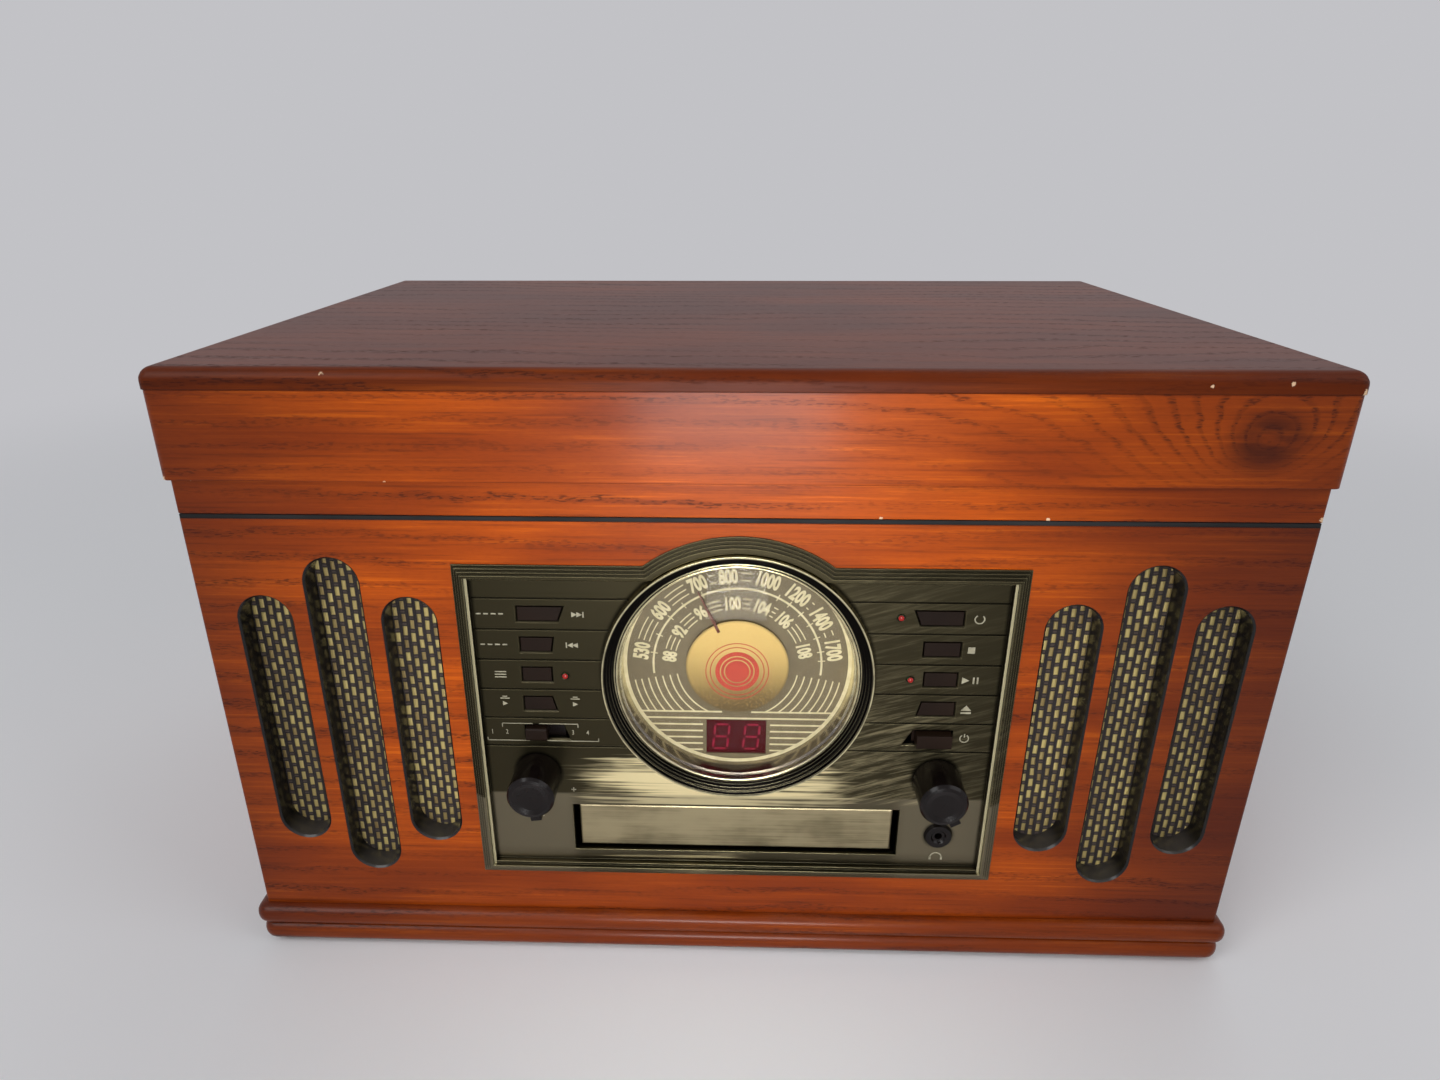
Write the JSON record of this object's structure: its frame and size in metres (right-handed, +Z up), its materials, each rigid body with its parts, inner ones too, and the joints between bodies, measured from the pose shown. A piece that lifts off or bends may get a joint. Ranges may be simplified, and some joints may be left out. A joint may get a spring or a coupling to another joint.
{
  "type": "record player",
  "caption": "Wooden cabinet record player with hinged lid, round radio dial, slotted cloth grilles, disc drawer, side cassette slot and belt-driven turntable.",
  "frame": {"origin": "centre of the bounding box at the soles of the feet", "axes": "+X to the viewer's right along the width, the front faces -Y, +Z up"},
  "size_m": [0.4988, 0.3644, 0.3032],
  "materials": {
    "cherry_wood": "satin lacquer over red-brown veneer",
    "antique_brass": "brushed antique brass with a clear coat",
    "dial_metal": "polished stepped ring",
    "dial_face": "printed olive dial",
    "gold_disc": "satin gold",
    "clear_plastic": "clear domed plastic",
    "red_window": "dark red window",
    "black_plastic": "moulded, fine texture",
    "gloss_black": "glossy",
    "button_brown": "dark brown, glossy",
    "pointer_metal": "dark red-brown",
    "grille_cloth": "black weave with gold threads",
    "black_rubber": "matte",
    "steel": "zinc plated",
    "aluminium": "satin",
    "speaker_black": "pressed basket and paper cone",
    "circuit_board": "phenolic board with parts"
  },
  "bodies": {
    "cabinet": {"front_panel": "cherry_wood", "left_side_panel": "cherry_wood", "right_side_panel": "cherry_wood", "rear_panel": "cherry_wood", "bottom_board": "cherry_wood", "base_moulding": "cherry_wood", "rubber_feet": "black_rubber", "hinge_body_leaves": "steel", "grille_cloths": "grille_cloth", "speakers": "speaker_black", "control_panel": "antique_brass", "dial_bezel": "dial_metal", "dial_lens": "clear_plastic", "dial_plate": "dial_face", "dial_disc": "gold_disc", "digit_display": "red_window", "headphone_jack": "gloss_black", "control_board": "circuit_board", "cd_chassis": "black_plastic", "turntable_deck": "black_plastic", "drive_belt": "black_rubber", "platter_motor": "steel", "tonearm_base": "black_plastic", "cassette_deck": "black_plastic", "line_out_jacks": "black_plastic", "cord_gland": "black_rubber", "power_board": "circuit_board"},
    "lid": {"lid_top_board": "cherry_wood", "lid_apron": "cherry_wood", "lid_band": "cherry_wood", "lid_bumpers": "black_rubber", "hinge_lid_leaves": "steel"},
    "stay_lower": {"stay_lower_arm": "steel"},
    "stay_upper": {"stay_upper_arm": "steel"},
    "platter": {"platter": "aluminium", "platter_mat": "black_rubber"},
    "motor_pulley": {"motor_pulley": "aluminium"},
    "tonearm_turret": {"tonearm_yoke": "black_plastic"},
    "tonearm": {"tonearm": "aluminium", "cartridge": "gloss_black"},
    "cue_lever": {"cue_lever": "black_plastic"},
    "cue_platform": {"cue_platform": "black_plastic"},
    "speed_lever": {"speed_lever": "black_plastic"},
    "cd_drawer": {"cd_door": "antique_brass", "cd_tray": "black_plastic"},
    "function_slider": {"function_slider": "button_brown"},
    "volume_knob": {"volume_knob": "gloss_black"},
    "tuning_knob": {"tuning_knob": "gloss_black"},
    "dial_pointer": {"dial_pointer": "pointer_metal"},
    "cassette_flap": {"cassette_flap": "gloss_black"},
    "cassette_eject_key": {"cassette_eject_key": "black_plastic"},
    "skip_forward_button": {"skip_forward_button": "button_brown"},
    "skip_back_button": {"skip_back_button": "button_brown"},
    "program_button": {"program_button": "button_brown"},
    "band_button": {"band_button": "button_brown"},
    "repeat_button": {"repeat_button": "button_brown"},
    "stop_button": {"stop_button": "button_brown"},
    "play_pause_button": {"play_pause_button": "button_brown"},
    "open_close_button": {"open_close_button": "button_brown"},
    "power_button": {"power_button": "button_brown"}
  },
  "joints": [
    {"name": "lid_hinge", "type": "hinge", "parent": "cabinet", "child": "lid", "pos_m": [0, 0.17595, 0.2387], "axis": [-1, 0, 0], "range_deg": [0, 78]},
    {"name": "stay_wall_pivot", "type": "hinge", "parent": "cabinet", "child": "stay_lower", "pos_m": [0.232, 0.07595, 0.2287], "axis": [-1, 0, 0], "range_deg": [0, 78]},
    {"name": "stay_elbow", "type": "hinge", "parent": "stay_lower", "child": "stay_upper", "pos_m": [0.232, 0.00895, 0.2597], "axis": [-1, 0, 0], "range_deg": [-78, 0]},
    {"name": "platter_spin", "type": "hinge", "parent": "cabinet", "child": "platter", "pos_m": [-0.062, 0.00575, 0.2335], "axis": [0, 0, -1], "continuous": true},
    {"name": "motor_pulley_spin", "type": "hinge", "parent": "cabinet", "child": "motor_pulley", "pos_m": [-0.00225, 0.05589, 0.2175], "axis": [0, 0, -1], "continuous": true},
    {"name": "tonearm_swing", "type": "hinge", "parent": "cabinet", "child": "tonearm_turret", "pos_m": [0.128, 0.10075, 0.256], "axis": [0, 0, -1], "range_deg": [0, 50]},
    {"name": "tonearm_lift", "type": "hinge", "parent": "tonearm_turret", "child": "tonearm", "pos_m": [0.128, 0.10075, 0.256], "axis": [-1, 0, 0], "range_deg": [0, 5]},
    {"name": "cue_platform_lift", "type": "slide", "parent": "cabinet", "child": "cue_platform", "axis": [0, 0, 1], "range_m": [0, 0.0034]},
    {"name": "cue_lever_turn", "type": "hinge", "parent": "cabinet", "child": "cue_lever", "pos_m": [0.152, 0.10075, 0.2265], "axis": [-1, 0, 0], "range_deg": [0, 35]},
    {"name": "speed_select", "type": "hinge", "parent": "cabinet", "child": "speed_lever", "pos_m": [0.178, -0.09925, 0.2175], "axis": [0, 0, 1], "range_deg": [-20, 20]},
    {"name": "cd_drawer_slide", "type": "slide", "parent": "cabinet", "child": "cd_drawer", "axis": [0, -1, 0], "range_m": [0, 0.125]},
    {"name": "function_select", "type": "slide", "parent": "cabinet", "child": "function_slider", "axis": [1, 0, 0], "range_m": [0, 0.006]},
    {"name": "volume_turn", "type": "hinge", "parent": "cabinet", "child": "volume_knob", "pos_m": [-0.0955, -0.16025, 0.108], "axis": [0, 1, 0], "range_deg": [0, 300]},
    {"name": "tuning_turn", "type": "hinge", "parent": "cabinet", "child": "tuning_knob", "pos_m": [0.0955, -0.16025, 0.108], "axis": [0, 1, 0], "range_deg": [-155, 292]},
    {"name": "dial_pointer_turn", "type": "hinge", "parent": "cabinet", "child": "dial_pointer", "pos_m": [0, -0.14885, 0.1622], "axis": [0, 1, 0], "range_deg": [-55, 103]},
    {"name": "cassette_flap_hinge", "type": "hinge", "parent": "cabinet", "child": "cassette_flap", "pos_m": [0.243, 0.04475, 0.1472], "axis": [0, 1, 0], "range_deg": [0, 75], "stiffness_Nm_per_rad": 0.002},
    {"name": "cassette_eject_press", "type": "slide", "parent": "cabinet", "child": "cassette_eject_key", "axis": [-1, 0, 0], "range_m": [0, 0.003], "stiffness_N_per_m": 200},
    {"name": "skip_forward_press", "type": "slide", "parent": "cabinet", "child": "skip_forward_button", "axis": [0, 1, 0], "range_m": [0, 0.0018], "stiffness_N_per_m": 200},
    {"name": "skip_back_press", "type": "slide", "parent": "cabinet", "child": "skip_back_button", "axis": [0, 1, 0], "range_m": [0, 0.0018], "stiffness_N_per_m": 200},
    {"name": "program_press", "type": "slide", "parent": "cabinet", "child": "program_button", "axis": [0, 1, 0], "range_m": [0, 0.0018], "stiffness_N_per_m": 200},
    {"name": "band_press", "type": "slide", "parent": "cabinet", "child": "band_button", "axis": [0, 1, 0], "range_m": [0, 0.0025], "stiffness_N_per_m": 200},
    {"name": "repeat_press", "type": "slide", "parent": "cabinet", "child": "repeat_button", "axis": [0, 1, 0], "range_m": [0, 0.0018], "stiffness_N_per_m": 200},
    {"name": "stop_press", "type": "slide", "parent": "cabinet", "child": "stop_button", "axis": [0, 1, 0], "range_m": [0, 0.0018], "stiffness_N_per_m": 200},
    {"name": "play_pause_press", "type": "slide", "parent": "cabinet", "child": "play_pause_button", "axis": [0, 1, 0], "range_m": [0, 0.0018], "stiffness_N_per_m": 200},
    {"name": "open_close_press", "type": "slide", "parent": "cabinet", "child": "open_close_button", "axis": [0, 1, 0], "range_m": [0, 0.0018], "stiffness_N_per_m": 200},
    {"name": "power_press", "type": "slide", "parent": "cabinet", "child": "power_button", "axis": [0, 1, 0], "range_m": [0, 0.0035], "stiffness_N_per_m": 200}
  ],
  "couplings": [
    {"joint": "stay_wall_pivot", "follows": "lid_hinge", "ratio": 1},
    {"joint": "stay_elbow", "follows": "lid_hinge", "ratio": -1},
    {"joint": "motor_pulley_spin", "follows": "platter_spin", "ratio": 12},
    {"joint": "cue_platform_lift", "follows": "tonearm_lift", "m_per_rad": 0.038},
    {"joint": "cue_lever_turn", "follows": "tonearm_lift", "ratio": 7},
    {"joint": "dial_pointer_turn", "follows": "tuning_turn", "ratio": 0.35}
  ]
}
